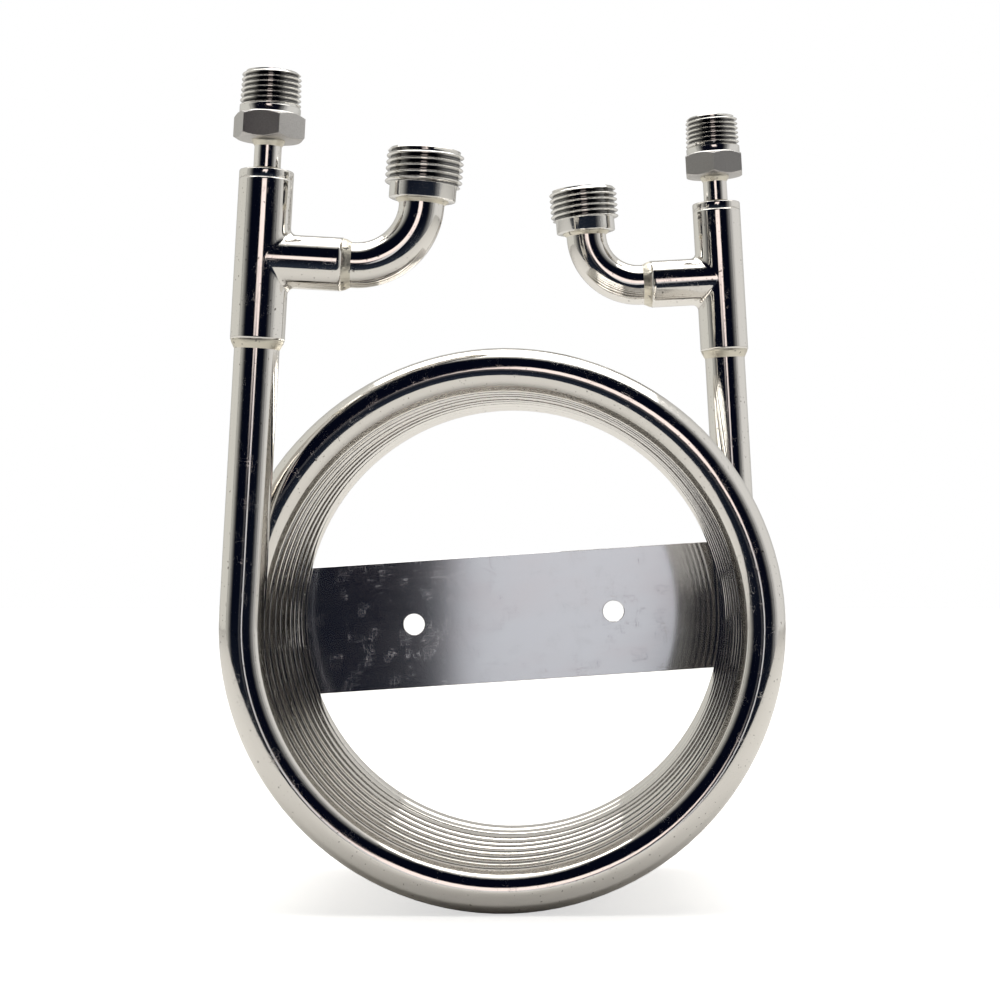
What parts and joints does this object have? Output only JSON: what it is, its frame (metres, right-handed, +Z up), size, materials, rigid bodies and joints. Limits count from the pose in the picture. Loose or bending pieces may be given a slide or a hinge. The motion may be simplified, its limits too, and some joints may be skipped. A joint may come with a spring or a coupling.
{
  "type": "counterflow wort chiller",
  "caption": "Tube-in-tube stainless coil that cools hot wort: water runs in the outer tube against wort in the inner one. Two tees, hose and pipe threads, bolt-on strip.",
  "frame": {"origin": "centre of the two bracket holes, on the rear face of the bracket strip", "axes": "+Z up along the legs, Y along the coil axis with the front leg toward -Y, +X to the right seen from the front"},
  "size_m": [0.1968, 0.1609, 0.2999],
  "materials": {
    "polished_tube": "mirror-bright stainless steel tube",
    "inner_tube": "bright drawn stainless steel tube",
    "machined_fitting": "turned threads, dull sandy hexagon flats",
    "brushed_strip": "fine lengthwise brushing",
    "weld_bead": "pickled TIG bead with straw heat tint"
  },
  "bodies": {
    "root": {"bracket_weld_left": "weld_bead", "bracket_weld_right": "weld_bead", "coil_quarter_01": "polished_tube", "coil_quarter_02": "polished_tube", "coil_quarter_03": "polished_tube", "coil_quarter_04": "polished_tube", "coil_quarter_05": "polished_tube", "coil_quarter_06": "polished_tube", "coil_quarter_07": "polished_tube", "coil_quarter_08": "polished_tube", "coil_quarter_09": "polished_tube", "coil_quarter_10": "polished_tube", "coil_quarter_11": "polished_tube", "coil_quarter_12": "polished_tube", "coil_quarter_13": "polished_tube", "coil_quarter_14": "polished_tube", "coil_quarter_15": "polished_tube", "coil_quarter_16": "polished_tube", "coil_quarter_17": "polished_tube", "coil_quarter_18": "polished_tube", "coil_quarter_19": "polished_tube", "coil_quarter_20": "polished_tube", "coil_quarter_21": "polished_tube", "coil_quarter_22": "polished_tube", "coil_quarter_23": "polished_tube", "coil_quarter_24": "polished_tube", "coil_quarter_25": "polished_tube", "coil_quarter_26": "polished_tube", "coil_quarter_27": "polished_tube", "coil_quarter_28": "polished_tube", "coil_quarter_29": "polished_tube", "coil_quarter_30": "polished_tube", "coil_quarter_31": "polished_tube", "coil_quarter_32": "polished_tube", "coil_quarter_33": "polished_tube", "coil_quarter_34": "polished_tube", "front_branch_weld": "weld_bead", "front_cap_weld": "weld_bead", "front_end_cap": "polished_tube", "front_hose_fitting": "machined_fitting", "front_hose_weld": "weld_bead", "front_leg_tube": "polished_tube", "front_leg_weld": "weld_bead", "front_neck_weld": "weld_bead", "front_tee": "polished_tube", "front_water_elbow": "polished_tube", "front_wort_fitting": "machined_fitting", "inner_wort_tube": "inner_tube", "mounting_bracket": "brushed_strip", "rear_branch_weld": "weld_bead", "rear_cap_weld": "weld_bead", "rear_end_cap": "polished_tube", "rear_hose_fitting": "machined_fitting", "rear_hose_weld": "weld_bead", "rear_leg_tube": "polished_tube", "rear_leg_weld": "weld_bead", "rear_neck_weld": "weld_bead", "rear_tee": "polished_tube", "rear_water_elbow": "polished_tube", "rear_wort_fitting": "machined_fitting"}
  },
  "joints": []
}
